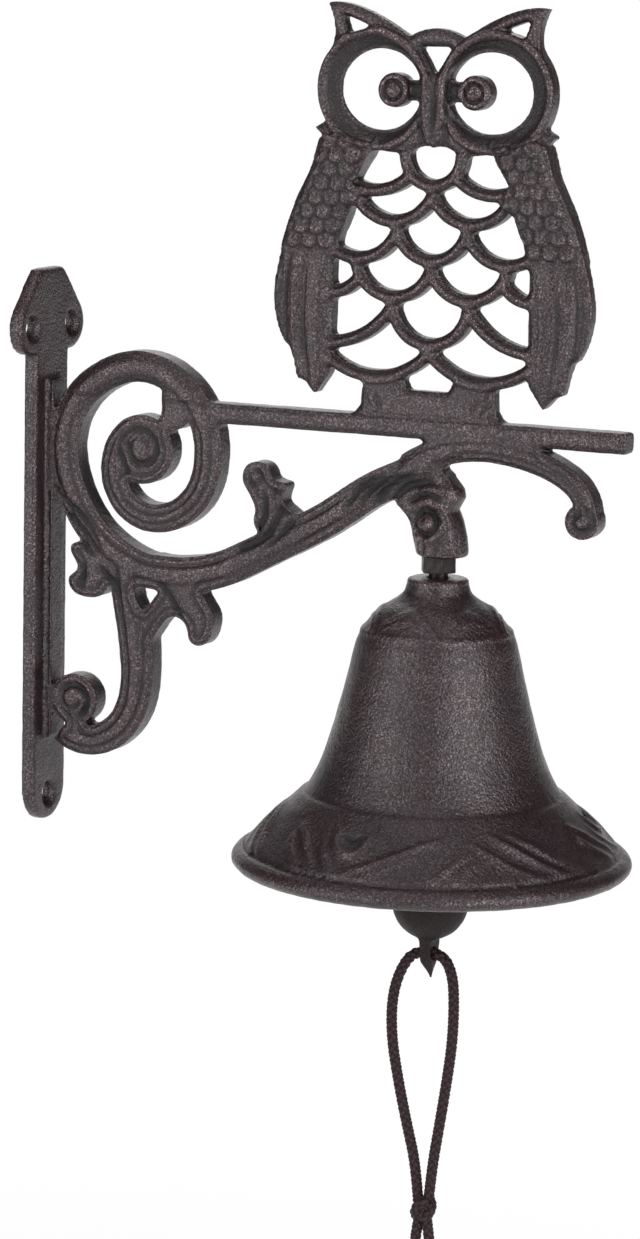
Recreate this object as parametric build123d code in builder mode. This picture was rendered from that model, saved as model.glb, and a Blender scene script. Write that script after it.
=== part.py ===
"""Cast-iron wall bell: an owl on a perch, a scrolled bracket, a hanging bell and a clapper on a pull cord.

Millimetres, +Z up, +X out from the wall. The origin is the middle of the wall plate's back face.
The bracket is one flat casting in the XZ plane, the same on both faces.
"""
import os
from math import pi, tan

from build123d import *

# Wall plate
plate_length = 179.0
plate_width = 22.0
plate_thickness = 4.2
plate_edge_chamfer = 1.0
head_lobe_radius = 8.5
head_lobe_spacing = 26.0
head_lobe_height = 71.0
head_tip_radius = 5.0
head_tip_spacing = 11.0
screw_hole_radius = 3.0
screw_sink_radius = 4.6
lower_screw_height = -81.0

# Castings' thicknesses, across Y
web_thickness = 5.0
owl_bead_thickness = 7.0
scroll_thickness = 8.0
scroll_bead_thickness = 10.0
rib_width = 9.0
rib_height = 2.2
rib_top = 54.0
rib_bottom = -62.0

# Perch
perch_start = 60.0
perch_end = 201.0
perch_bottom = 44.0
perch_height = 6.5
perch_thickness = 8.5
perch_edge_radius = 1.8

# Owl
owl_centre = 135.5
eye_spacing = 40.6
eye_height = 99.4
eye_ring_radius = 18.7
eye_ring_bead = 2.2
eye_dish_inner_radius = 11.2
eye_dish_depth = 1.4
eye_opening_half_width = 13.6
eye_opening_half_height = 12.3
eye_opening_inset = 2.3
pupil_radius = 5.3
pupil_inset = 7.0
pupil_ring_width = 1.6
pupil_button_radius = 2.3
pupil_bar_height = 6.2
scale_width = 4.0
scale_bead_width = 2.0
bead_margin = 0.25
scale_half_span = 11.5
feather_radius = 4.2
feather_pitch = 6.0
feather_row_pitch = 7.0
feather_rows = 5
feathers_in_row = 4
first_feather = (34.5, 53)
feather_step = 0.6
long_feather_step = 0.5

# Bell
bell_axis = 139.6
boss_radius = 7.3
boss_bottom = 8.0
boss_top = 30.0
crown_gap = 1.6
bell_wall = 3.6
crown_radius = 8.0
crown_thickness = 5.0
crown_seat_margin = 0.8
crown_hole_clearance = 0.4
shoulder_radius = 25.6
shoulder_drop = 23.0
body_middle_radius = 30.2
body_middle_drop = 42.0
waist_radius = 40.0
waist_drop = 67.5
rim_radius = 62.5
bell_height = 91.5
lip_height = 2.5
lip_thickness = 5.0
ridge_size = 1.0
shoulder_line_drop = 16.5
shoulder_line_radius = 0.7
lip_groove_rise = 6.8
lip_groove_inset = 3.7
lip_groove_radius = 0.9
running_clearance = 0.35

# Eye bolt, nuts and washer
bolt_radius = 3.0
bolt_seat_depth = 14.0
bolt_hole_clearance = 0.1
nut_across_flats = 10.0
nut_height = 5.0
washer_radius = 6.0
washer_thickness = 1.6
bolt_end_gap = 0.5
eye_radius = 4.6
eye_wire_radius = 1.4
shank_below_nut = 2.6

# Link and clapper
link_wire_radius = 1.1
link_length = 10.0
clapper_ball_radius = 12.0
clapper_ball_below_rim = 11.0
clapper_rod_top_radius = 2.6
clapper_rod_bottom_radius = 3.8
tail_length = 11.5
tail_width = 7.0
tail_thickness = 3.6
tail_hole_drop = 4.3

# Pull cord
cord_diameter = 3.4
cord_hole_clearance = 0.25
knot_radius = 4.2
knot_height = 9.0
knot_rounding = 0.5
knot_gap = 0.2
cord_end_length = 9.0

# Heights that follow from the sizes above
perch_top = perch_bottom + perch_height
bell_top = boss_bottom - nut_height - crown_gap
rim_bottom = bell_top - bell_height
crown_underside = bell_top - crown_thickness
crown_hole_radius = bolt_radius + crown_hole_clearance
washer_top = crown_underside - running_clearance
inner_nut_top = washer_top - washer_thickness
inner_nut_bottom = inner_nut_top - nut_height
eye_centre = inner_nut_bottom - shank_below_nut - eye_radius
link_arc_radius = eye_wire_radius + running_clearance + link_wire_radius
link_upper_centre = eye_centre - eye_radius
link_lower_centre = link_upper_centre - link_length
clapper_eye_centre = link_lower_centre - eye_radius
ball_centre = rim_bottom - clapper_ball_below_rim
tail_top = ball_centre - clapper_ball_radius
tail_bottom = tail_top - tail_length
cord_hole_radius = cord_diameter / 2 + cord_hole_clearance
cord_hole_height = tail_top - tail_hole_drop

bracket_plane = Plane.XZ
owl_plane = Plane(origin=(owl_centre, 0, perch_top), x_dir=(1, 0, 0), z_dir=(0, -1, 0))
bell_plane = Plane(origin=(bell_axis, 0, bell_top), x_dir=(1, 0, 0), z_dir=(0, -1, 0))
link_plane = Plane(origin=(bell_axis, 0, 0), x_dir=(0, 1, 0), z_dir=(1, 0, 0))
cord_plane = Plane(origin=(bell_axis, 0, cord_hole_height), x_dir=(1, 0, 0), z_dir=(0, -1, 0))

# The dome of the bell, from the crown's edge to the shoulder
dome_points = [(crown_radius, 0), (crown_radius + 2, -4.2), (shoulder_radius - 7.6, -10.3)]
dome_points += [(shoulder_radius - 2.4, -shoulder_line_drop), (shoulder_radius, -shoulder_drop)]
inner_dome_point = (dome_points[2][0] - bell_wall * 0.7, dome_points[2][1] - bell_wall * 0.7)

# The cord's route from the knot up one strand, through the tail and down the other
cord_route = [(-1.9, -79.5), (-2.9, -69), (-6.4, -56), (-9.6, -42.5), (-12.2, -29), (-12.4, -16.5), (-9.8, -6.8)]
cord_route += [(-5.0, 0), (4.6, 0), (8.2, -6.2), (8.9, -16), (8.6, -28.5), (6.9, -42), (4.9, -55.5), (2.8, -69), (1.9, -79.5)]


def ribbon(points, start_width, end_width):
    """Add a band to the sketch, along a smooth centreline, its width running from start to end."""
    centre = Edge.make_spline([Vector(*point) for point in points])
    steps = 3 * len(points)
    left = []
    right = []
    for step in range(steps + 1):
        share = step / steps
        half = (start_width + (end_width - start_width) * share) / 2
        place = centre.position_at(share)
        heading = centre.tangent_at(share)
        left.append((place.X - heading.Y * half, place.Y + heading.X * half))
        right.append((place.X + heading.Y * half, place.Y - heading.X * half))
    with BuildLine() as border:
        one_side = Spline(*left)
        other_side = Spline(*right)
        Line(one_side @ 0, other_side @ 0)
        Line(one_side @ 1, other_side @ 1)
    make_face(border.edges())


def blob(points):
    """Add a smooth closed shape through the points to the sketch."""
    with BuildLine() as border:
        Spline(*points, periodic=True)
    make_face(border.edges())


def scale_bar(ends_and_middle, width, drop=0.0):
    """Add one hanging scale edge to the sketch, an arc through three points, lowered by drop."""
    lowered = [(x, z - drop) for x, z in ends_and_middle]
    with BuildLine() as arc:
        ThreePointArc(*lowered)
    trace(arc.edges(), line_width=width)


# Centrelines and outlines of the bracket, in its own plane
scroll_line = [(53, -5), (42, -5), (31, -1), (21.5, 6), (14, 17), (10.2, 30), (12.5, 44), (22, 55), (37, 60.2)]
scroll_line += [(51, 55.5), (59.5, 44.5), (61.3, 33), (58, 21), (50, 14), (41.5, 12.3), (33.5, 15.5), (28.6, 23)]
scroll_line += [(29, 33), (34.5, 40)]
scroll_eye = (38.0, 34.0)
scroll_eye_radius = 11.0
scroll_button_radius = 3.4
scroll_tie = [(40, 42), (45, 47.5), (45.5, 54), (53, 53), (54.5, 45), (50, 41)]
arm_line = [(42, -5), (55, -4.8), (66, -2.2), (77, 3), (88, 8.8), (98, 14), (108, 20.3), (117, 26.5), (128, 32), (138, 37.5)]
arch_line = [(130, 35), (140, 40.2), (152, 42.5), (165, 41.5), (177, 38), (186, 32), (189, 24.5)]
arch_volute = (187.6, 22.6)
arch_volute_radius = 5.4
stem_line = [(33, -4), (34.5, -14), (36.5, -27), (37.2, -38), (35.5, -49), (29, -58), (19.5, -61.5), (10.5, -58.5)]
stem_volute = (14.6, -48.5)
stem_volute_radius = 8.2
leaf_on_arm = [(78, 16), (75.6, 23.5), (73.6, 28), (75.5, 32), (79.5, 33), (82.8, 31), (84.4, 28), (88.5, 26.6)]
leaf_on_arm += [(87.6, 21.5), (91.4, 18), (93, 12), (84, 8)]
leaf_under_arm = [(42, -9), (38.5, -20), (41.5, -27), (45.5, -22), (50.3, -18.5), (54.6, -21), (56.2, -26), (60, -27)]
leaf_under_arm += [(63.2, -23.5), (63.6, -16), (60.5, -11.5), (58, -7)]
leaf_at_plate = [(20, 3), (13.5, -1), (15.5, -6.2), (12.6, -9), (13.6, -12.8), (18, -14.8), (24, -14), (28, -6)]
fork_gap = [(34, -9.6), (45, -10.6), (39.5, -18)]
boss_leaf = [(126, 26), (134, 36), (143.5, 33), (145.8, 27), (146, 18), (145.5, 12), (139, 9), (133, 11), (130.4, 19)]

# Outlines of one side of the owl, from its centre line and the perch
ear = [(0, 118.4), (4.8, 117.6), (8.9, 115.6)]
ear_top = [(8.9, 115.6), (15.9, 119.7), (23.2, 123.2), (31.2, 125.3), (36.2, 125.2)]
ear_side = [(36.2, 125.2), (34, 119.5), (34.1, 113.0), (37, 108)]
ear_opening = [(20.6, 118.0), (31.0, 121.8), (28.8, 115.9)]
wing_outer = [(33.5, 92), (37.6, 83.5), (40, 75.5), (44.4, 66.5), (48.3, 57), (51.4, 45.5), (52.8, 37.5), (52.1, 28.5), (48.8, 20.5)]
wing_tips = [(48.8, 20.5), (46.8, 19.4), (44.4, 9.8), (41.6, 8.8), (38, 5), (33.2, 12)]
wing_inner = [(33.2, 12), (32.6, 30), (32.6, 46), (30.6, 54), (27.2, 62.5), (24, 66), (25.8, 71.5), (18.4, 84)]
long_feather_edges = [[(47, 17), (48.4, 27), (48.6, 40), (46.6, 51)], [(39.4, 6), (41.8, 20), (42.4, 36), (40.6, 51)]]
chin = [(-1, 92), (5, 92), (16, 86), (17, 80.8), (10, 80.2), (4, 82.8), (-1, 82.8)]
foot_outline = [(-25.5, -1), (-22.5, 3), (-22, 12), (-8, 11), (-6.6, 8.2)]
foot_outline += [(6.6, 8.2), (8, 11), (22, 12), (22.5, 3), (25.5, -1)]

# The chest's scales, each a hanging arc: outer end, lowest point, inner end
middle_scales = [((-9.2, 81.5), (0, 70.9), (9.2, 81.5))]
middle_scales += [((-scale_half_span, 57.4), (0, 48.1), (scale_half_span, 57.4))]
middle_scales += [((-scale_half_span - 1, 34.2), (0, 22.5), (scale_half_span + 1, 34.2))]
side_scales = [((27, 70.5), (17, 69), (7, 74.5))]
side_scales += [((25, 66.5), (scale_half_span + 0.5, 59.7), (0, 68.4))]
side_scales += [((34, 51.5), (22.5, 48), (scale_half_span, 57.4))]
side_scales += [((25, 46), (scale_half_span + 1, 36.5), (0, 45.6))]
side_scales += [((34, 37), (28.5, 38.2), (23.5, 43))]
side_scales += [((34, 21.5), (22.5, 24.5), (scale_half_span + 1, 34.2))]
side_scales += [((34, 17.5), (17.5, 11.8), (0, 20.2))]


def wing_outline(mode=Mode.ADD):
    """Add one wing to the owl's sketch, or cut the sketch to it."""
    with BuildLine() as border:
        Spline(*wing_outer)
        Polyline(*wing_tips)
        Polyline(*wing_inner)
        Line(wing_inner[-1], wing_outer[0])
    make_face(border.edges(), mode=mode)


def long_feathers(edge):
    """Add the strip of the wing's long feathers on the inner side of an edge line."""
    with BuildLine() as border:
        outer_side = Spline(*edge)
        Polyline(outer_side @ 1, (20, edge[-1][1]), (20, edge[0][1]), outer_side @ 0)
    make_face(border.edges())
    wing_outline(Mode.INTERSECT)


def ear_outline():
    """Add one half of the brow with its ear to the owl's sketch."""
    with BuildLine() as border:
        Spline(*ear)
        Spline(*ear_top)
        Spline(*ear_side)
        Line(ear_side[-1], (20, 105))
        Line((20, 105), (0, 103.5))
        Line((0, 103.5), ear[0])
    make_face(border.edges())


# The bracket: wall plate, scrolls, arm, boss, perch and owl in one casting
with BuildPart() as bracket:
    with BuildSketch(Plane.YZ) as plate_outline:
        with Locations((0, (head_lobe_height - plate_length / 2 + plate_width / 2) / 2)):
            Rectangle(plate_width, head_lobe_height + plate_length / 2 - plate_width / 2)
        with Locations((0, plate_width / 2 - plate_length / 2)):
            Circle(plate_width / 2)
        with BuildLine() as head:
            for side in (-1, 1):
                CenterArc((side * head_lobe_spacing / 2, head_lobe_height), head_lobe_radius, 0, 360)
                tip_height = plate_length / 2 - head_tip_radius
                CenterArc((side * head_tip_spacing / 2, tip_height), head_tip_radius, 0, 360)
        make_hull(head.edges())
    extrude(amount=plate_thickness)
    chamfer(bracket.faces().sort_by(Axis.X)[-1].edges(), plate_edge_chamfer)

    upper_screws = [(side * head_lobe_spacing / 2, head_lobe_height) for side in (-1, 1)]
    with Locations(Plane.YZ.offset(plate_thickness)):
        with Locations(*upper_screws, (0, lower_screw_height)):
            CounterSinkHole(screw_hole_radius, screw_sink_radius, depth=plate_thickness)

    with BuildSketch(Plane.YZ.offset(plate_thickness)) as rib_outline:
        with Locations((0, (rib_top + rib_bottom) / 2)):
            Rectangle(rib_width, rib_top - rib_bottom)
    extrude(amount=rib_height)

    with BuildSketch(bracket_plane) as scrolls:
        ribbon(scroll_line, 11.0, 8.5)
        blob(scroll_tie)
        with Locations(scroll_eye):
            Circle(scroll_eye_radius)
        ribbon(arm_line, 11.5, 10.5)
        ribbon(arch_line, 9, 6.5)
        with Locations(arch_volute):
            Circle(arch_volute_radius)
        ribbon(stem_line, 13, 9)
        with Locations(stem_volute):
            Circle(stem_volute_radius)
        blob(leaf_on_arm)
        blob(leaf_under_arm)
        blob(leaf_at_plate)
        blob(boss_leaf)
        with BuildLine() as fork:
            Polyline(*fork_gap, close=True)
        make_face(mode=Mode.SUBTRACT)
    extrude(amount=scroll_thickness / 2, both=True)

    with BuildSketch(Plane.XY.offset(boss_bottom)) as boss_section:
        with Locations((bell_axis, 0)):
            Circle(boss_radius)
    extrude(amount=boss_top - boss_bottom)
    with Locations(Plane(origin=(bell_axis, 0, boss_bottom), z_dir=(0, 0, -1))):
        Hole(bolt_radius + bolt_hole_clearance, depth=bolt_seat_depth)

    with BuildSketch(bracket_plane) as beads:
        ribbon(scroll_line, 4.6, 3.4)
        ribbon(arm_line, 4.6, 4.2)
        ribbon(arch_line, 3.6, 2.6)
        ribbon(stem_line, 4.6, 3.6)
        with Locations(scroll_eye):
            Circle(scroll_button_radius)
        with Locations(arch_volute):
            Circle(arch_volute_radius / 2)
        with Locations(stem_volute):
            Circle(stem_volute_radius / 2)
    extrude(amount=scroll_bead_thickness / 2, both=True)

    with BuildSketch(Plane.YZ.offset(perch_start)) as perch_section:
        with Locations((0, perch_bottom + perch_height / 2)):
            RectangleRounded(perch_thickness, perch_height, perch_edge_radius)
    extrude(amount=perch_end - perch_start)

    with BuildSketch(owl_plane) as owl_web:
        wing_outline()
        ear_outline()
        with Locations((eye_spacing / 2, eye_height)):
            Circle(eye_ring_radius)
        with BuildLine() as cheek:
            Polyline((30, 93), (40, 87), (33, 82), close=True)
        make_face()
        for bar in side_scales:
            scale_bar(bar, scale_width)
        with BuildLine():
            Polyline(*chin, close=True)
        make_face()
        mirror(about=Plane.YZ)
        for bar in middle_scales:
            scale_bar(bar, scale_width)
        with BuildLine() as foot:
            Polyline(*foot_outline, close=True)
        make_face()
        for side in (-1, 1):
            with Locations((side * (eye_spacing / 2 - eye_opening_inset), eye_height)):
                Ellipse(eye_opening_half_width, eye_opening_half_height, mode=Mode.SUBTRACT)
            with BuildLine() as opening:
                Polyline(*[(side * x, z) for x, z in ear_opening], close=True)
            make_face(mode=Mode.SUBTRACT)
            with Locations((side * (eye_spacing / 2 - pupil_inset), eye_height)):
                Circle(pupil_radius)
            with Locations((side * (eye_spacing / 2 - pupil_inset) / 2, eye_height)):
                Rectangle(eye_spacing / 2 - pupil_inset, pupil_bar_height)
        with BuildLine() as brow_opening:
            Polyline((-5.4, 112.8), (5.4, 112.8), (0, 104), close=True)
        make_face(mode=Mode.SUBTRACT)
    extrude(amount=web_thickness / 2, both=True)

    for side in (-1, 1):
        eye_middle = owl_plane.from_local_coords((side * eye_spacing / 2, eye_height, 0))
        with BuildSketch(Plane(origin=eye_middle, x_dir=(1, 0, 0), z_dir=(0, 0, 1))) as eye_dish:
            for face in (-1, 1):
                with BuildLine() as slope:
                    Polyline((eye_ring_radius - eye_ring_bead, face * web_thickness / 2),
                             (eye_dish_inner_radius, face * (web_thickness / 2 - eye_dish_depth)),
                             (eye_dish_inner_radius, face * web_thickness),
                             (eye_ring_radius - eye_ring_bead, face * web_thickness), close=True)
                make_face()
        revolve(axis=Axis(eye_middle, (0, 1, 0)), mode=Mode.SUBTRACT)

    wing_height = web_thickness
    for edge in long_feather_edges:
        wing_height += long_feather_step
        with BuildSketch(owl_plane) as feather_strip:
            long_feathers(edge)
            mirror(about=Plane.YZ)
        extrude(amount=wing_height / 2, both=True)
    for row in range(feather_rows):
        wing_height += feather_step
        row_start = first_feather[0] - row * feather_pitch / 2
        with BuildSketch(owl_plane) as feather_row:
            for feather in range(feathers_in_row):
                with Locations((row_start + feather * feather_pitch, first_feather[1] + row * feather_row_pitch)):
                    Circle(feather_radius)
            wing_outline(Mode.INTERSECT)
            with Locations((eye_spacing / 2, eye_height)):
                Circle(eye_ring_radius + bead_margin, mode=Mode.SUBTRACT)
            mirror(about=Plane.YZ)
        extrude(amount=wing_height / 2, both=True)

    with BuildSketch(owl_plane) as owl_beads:
        for bar in side_scales:
            scale_bar(bar, scale_bead_width, (scale_width - scale_bead_width) / 2 - bead_margin)
        mirror(about=Plane.YZ)
        for bar in middle_scales:
            scale_bar(bar, scale_bead_width, (scale_width - scale_bead_width) / 2 - bead_margin)
        for side in (-1, 1):
            with Locations((side * eye_spacing / 2, eye_height)):
                Circle(eye_ring_radius - bead_margin)
                Circle(eye_ring_radius - eye_ring_bead, mode=Mode.SUBTRACT)
        with BuildLine() as beak:
            Polyline((-3.4, 104), (3.4, 104), (2.2, 90), (0, 82.2), (-2.2, 90), close=True)
        make_face()
        for side in (-1, 1):
            with Locations((side * (eye_spacing / 2 - pupil_inset), eye_height)):
                Circle(pupil_radius - bead_margin)
                Circle(pupil_radius - pupil_ring_width, mode=Mode.SUBTRACT)
                Circle(pupil_button_radius)
    extrude(amount=owl_bead_thickness / 2, both=True)


def hex_nut(bottom):
    """Add a plain hexagon nut round the bell's axis, on the height of its lower face."""
    with BuildSketch(Plane.XY.offset(bottom)) as section:
        with Locations((bell_axis, 0)):
            RegularPolygon(nut_across_flats / 2, 6, major_radius=False)
            Circle(bolt_radius + bolt_hole_clearance, mode=Mode.SUBTRACT)
    extrude(section.sketch, amount=nut_height)


# The eye bolt: a screwed shank with a ring below, fixed in the bracket's boss
with BuildPart() as eye_bolt:
    with BuildSketch(Plane.XY.offset(eye_centre + eye_radius)):
        with Locations((bell_axis, 0)):
            Circle(bolt_radius)
    extrude(amount=boss_bottom + bolt_seat_depth - bolt_end_gap - eye_centre - eye_radius)
    with Locations(Location((bell_axis, 0, eye_centre), (90, 0, 0))):
        Torus(eye_radius, eye_wire_radius)

# The lock nut under the boss
with BuildPart() as lock_nut:
    hex_nut(boss_bottom - nut_height)

# The washer and the nut inside the bell, which carry its crown
with BuildPart() as inner_washer:
    with BuildSketch(Plane.XY.offset(inner_nut_top)):
        with Locations((bell_axis, 0)):
            Circle(washer_radius)
            Circle(bolt_radius + bolt_hole_clearance, mode=Mode.SUBTRACT)
    extrude(amount=washer_thickness)

with BuildPart() as inner_nut:
    hex_nut(inner_nut_bottom)

# The bell: a turned shell, open below, with a hole for the bolt in its crown
with BuildPart() as bell:
    with BuildSketch(bell_plane):
        with BuildLine():
            crown = Line((crown_hole_radius, 0), (crown_radius, 0))
            dome = Spline(*dome_points, tangents=((0.1, -1), (0.22, -1)))
            side = Spline(dome @ 1, (body_middle_radius, -body_middle_drop), (waist_radius, -waist_drop),
                          tangents=((0.22, -1), (0.55, -0.8)))
            ridge_top = Line(side @ 1, (waist_radius + ridge_size, -waist_drop))
            ridge_side = Line(ridge_top @ 1, (waist_radius + ridge_size * 2, -waist_drop - ridge_size))
            skirt = Spline(ridge_side @ 1, (rim_radius - 9.5, -bell_height + 12), (rim_radius - 2.6, -bell_height + 6),
                           (rim_radius, lip_height - bell_height), tangents=((0.75, -0.7), (0.1, -1)))
            lip = ThreePointArc(skirt @ 1, (rim_radius - lip_thickness * 0.3, lip_height * 0.2 - bell_height),
                                (rim_radius - lip_thickness, -bell_height))
            inner_skirt = Spline(lip @ 1, (rim_radius - 9.5 - bell_wall * 0.65, -bell_height + 12 - bell_wall * 0.75),
                                 (waist_radius - bell_wall * 0.8, -waist_drop - bell_wall * 0.4),
                                 tangents=((-0.3, 1), (-0.5, 0.8)))
            inner_side = Spline(inner_skirt @ 1, (body_middle_radius - bell_wall, -body_middle_drop),
                                (shoulder_radius - bell_wall, -shoulder_drop), tangents=((-0.5, 0.8), (-0.22, 1)))
            inner_dome = Spline(inner_side @ 1, inner_dome_point, (washer_radius + crown_seat_margin, -crown_thickness),
                                tangents=((-0.22, 1), (-0.6, 0.8)))
            underside = Line(inner_dome @ 1, (crown_hole_radius, -crown_thickness))
            Line(underside @ 1, crown @ 0)
        make_face()
    revolve(axis=Axis((bell_axis, 0, 0), (0, 0, 1)))
    with BuildSketch(bell_plane) as shoulder_line:
        with Locations((shoulder_radius - 2.4, -shoulder_line_drop)):
            Circle(shoulder_line_radius)
    revolve(axis=Axis((bell_axis, 0, 0), (0, 0, 1)))
    with BuildSketch(bell_plane) as lip_groove:
        with Locations((rim_radius - lip_groove_inset, lip_groove_rise - bell_height)):
            Circle(lip_groove_radius)
    revolve(axis=Axis((bell_axis, 0, 0), (0, 0, 1)), mode=Mode.SUBTRACT)

# The link: a closed oval of wire between the bolt's ring and the clapper's ring
with BuildPart() as clapper_link:
    with BuildLine(link_plane) as link_path:
        left_leg = Line((-link_arc_radius, link_lower_centre), (-link_arc_radius, link_upper_centre))
        top = ThreePointArc(left_leg @ 1, (0, link_upper_centre + link_arc_radius), (link_arc_radius, link_upper_centre))
        right_leg = Line(top @ 1, (link_arc_radius, link_lower_centre))
        ThreePointArc(right_leg @ 1, (0, link_lower_centre - link_arc_radius), left_leg @ 0)
    with BuildSketch(Plane(link_path.line @ 0, z_dir=(0, 0, 1))):
        Circle(link_wire_radius)
    sweep()

# The clapper: ring, rod, ball and pointed tail in one casting
with BuildPart() as clapper:
    with Locations(Location((bell_axis, 0, clapper_eye_centre), (90, 0, 0))):
        Torus(eye_radius, eye_wire_radius)
    with BuildSketch(Plane(origin=(bell_axis, 0, 0), x_dir=(1, 0, 0), z_dir=(0, -1, 0))):
        with BuildLine():
            rod_top = clapper_eye_centre - eye_radius
            Polyline((0, rod_top), (clapper_rod_top_radius, rod_top), (clapper_rod_bottom_radius, ball_centre))
            Line((clapper_rod_bottom_radius, ball_centre), (0, ball_centre))
            Line((0, ball_centre), (0, rod_top))
        make_face()
    revolve(axis=Axis((bell_axis, 0, 0), (0, 0, 1)))
    with Locations((bell_axis, 0, ball_centre)):
        Sphere(clapper_ball_radius)
    with BuildSketch(Plane(origin=(bell_axis, 0, 0), x_dir=(0, 1, 0), z_dir=(1, 0, 0))):
        with BuildLine():
            tail_root = ball_centre - clapper_ball_radius * 0.8
            tail_shoulder = cord_hole_height - cord_hole_radius
            Polyline((0, tail_bottom), (tail_width / 2, tail_shoulder), (tail_width * 0.7, tail_root),
                     (-tail_width * 0.7, tail_root), (-tail_width / 2, tail_shoulder), close=True)
        make_face()
        with Locations((0, cord_hole_height)):
            Circle(cord_hole_radius, mode=Mode.SUBTRACT)
    extrude(amount=tail_thickness / 2, both=True)

# The pull cord: one loop through the tail, both ends in the knot
cord_radii = []
for before, corner, after in zip(cord_route, cord_route[1:], cord_route[2:]):
    arriving = Vector(*corner) - Vector(*before)
    leaving = Vector(*after) - Vector(*corner)
    shorter = min(arriving.length, leaving.length)
    cord_radii.append(0.45 * shorter / tan(arriving.get_angle(leaving) * pi / 360))

with BuildPart() as pull_cord:
    with BuildLine(cord_plane) as cord_path:
        route = FilletPolyline(*cord_route, radius=cord_radii)
    with BuildSketch(Plane(cord_path.line @ 0, z_dir=cord_path.line % 0)):
        Circle(cord_diameter / 2)
    sweep()

print("cord length", round(route.length, 1), "radii", [round(radius, 1) for radius in cord_radii])
print("cord volume over section times length",
      round(pull_cord.part.volume / (pi * cord_diameter ** 2 / 4 * route.length), 4))

# The knot that closes the loop, with its two short ends
with BuildPart() as cord_knot:
    with BuildSketch(cord_plane):
        with BuildLine():
            knot_top = cord_route[0][1] - knot_gap
            knot_bottom = knot_top - knot_height
            flat = knot_radius - knot_rounding
            Line((0, knot_bottom), (0, knot_top))
            Line((0, knot_top), (flat, knot_top))
            ThreePointArc((flat, knot_top), (knot_radius, (knot_top + knot_bottom) / 2), (flat, knot_bottom))
            Line((flat, knot_bottom), (0, knot_bottom))
        make_face()
    revolve(axis=Axis((bell_axis, 0, 0), (0, 0, 1)))
    end_plane = Plane(origin=(bell_axis, 0, cord_hole_height + knot_bottom + knot_rounding), z_dir=(0, 0, -1))
    with BuildSketch(end_plane):
        with Locations((-cord_route[0][0], 0), (cord_route[0][0], 0)):
            Circle(cord_diameter / 2)
    extrude(amount=cord_end_length)

pieces = {
    "bracket": bracket, "eye_bolt": eye_bolt, "lock_nut": lock_nut, "inner_washer": inner_washer,
    "inner_nut": inner_nut, "bell": bell, "clapper_link": clapper_link, "clapper": clapper,
    "pull_cord": pull_cord, "cord_knot": cord_knot,
}
os.makedirs("parts", exist_ok=True)
for name, piece in pieces.items():
    piece.part.label = name
    export_step(piece.part, f"parts/{name}.step")
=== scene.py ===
"""Look of the cast-iron wall bell: cast surfaces with their relief, fasteners, braided pull cord, light and camera.

Metres, +Z up, +X out from the wall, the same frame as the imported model.
"""
from math import cos, pi, radians, sin, tau

import bpy
import numpy as np
from mathutils import Matrix, Vector
from mathutils import noise as field
from mathutils.kdtree import KDTree


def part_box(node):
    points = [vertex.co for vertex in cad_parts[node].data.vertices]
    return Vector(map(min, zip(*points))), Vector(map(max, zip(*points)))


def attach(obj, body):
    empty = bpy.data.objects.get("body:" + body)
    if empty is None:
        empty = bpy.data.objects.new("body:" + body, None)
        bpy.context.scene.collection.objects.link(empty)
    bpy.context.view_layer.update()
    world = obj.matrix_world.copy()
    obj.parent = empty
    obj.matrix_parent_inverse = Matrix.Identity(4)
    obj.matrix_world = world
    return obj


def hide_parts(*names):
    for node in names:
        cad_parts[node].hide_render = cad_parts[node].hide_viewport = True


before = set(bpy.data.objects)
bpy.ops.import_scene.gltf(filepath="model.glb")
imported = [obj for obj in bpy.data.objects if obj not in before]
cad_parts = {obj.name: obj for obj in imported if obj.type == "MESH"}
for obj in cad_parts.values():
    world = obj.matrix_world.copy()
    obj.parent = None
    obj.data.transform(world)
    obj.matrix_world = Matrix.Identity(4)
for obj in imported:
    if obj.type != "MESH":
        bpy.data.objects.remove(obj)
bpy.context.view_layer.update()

MM = 0.001

# Camera, fitted to the photograph
camera_place = Vector((657.5, -1203.5, 210.5)) * MM
camera_azimuth = radians(24.865)
camera_elevation = radians(9.668)
camera_roll = radians(1.121)
focal_pixels = 4306.0
image_height = 1239.0
sensor_size = 36.0

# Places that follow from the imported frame
bell_low, bell_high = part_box("bell")
bell_axis = (bell_low.x + bell_high.x) / 2
bell_top = bell_high.z
knot_low, knot_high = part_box("cord_knot")
cord_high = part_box("pull_cord")[1]

# Pull cord
cord_diameter = 3.4 * MM
braid_pitch = 2.6 * MM
braid_sides = 40
knot_steps = 18
knot_end = [(0.9, 2.0), (1.3, -3.0), (1.9, -7.0), (2.4, -10.6)]
cord_hole_height = cord_high.z - cord_diameter / 2
cord_route = [(-1.9, -79.5), (-2.9, -69), (-6.4, -56), (-9.6, -42.5), (-12.2, -29), (-12.4, -16.5), (-9.8, -6.8)]
cord_route += [(-5.0, 0), (4.6, 0)]
cord_route += [(8.2, -6.2), (8.9, -16), (8.6, -28.5), (6.9, -42), (4.9, -55.5), (2.8, -69), (1.9, -79.5)]

# Casting meshes: the size of their cells
bracket_voxel = 0.64 * MM
bell_voxel = 0.8 * MM
clapper_voxel = 0.5 * MM
nut_voxel = 0.25 * MM
most_triangles = 185000

# Relief of the castings, in millimetres
edge_width = 2.3
edge_drop = 0.9
lump_size = 5.0
lump_height = 0.10
flat_reach = 7.6

# Owl, from its centre line and the perch, in millimetres
owl_centre = 135.5
perch_top = 50.5
feather_radius = 3.0
feather_pitch = 5.4
feather_row_pitch = 4.4
feather_rows = 9
feathers_in_row = 5
first_feather = (34.5, 53)

eye_centre = (20.3, 99.4)
eye_inner_radius = 11.6
eye_outer_radius = 17.6
pupil_centre = (13.3, 99.4)
pupil_radius = 5.2

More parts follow.
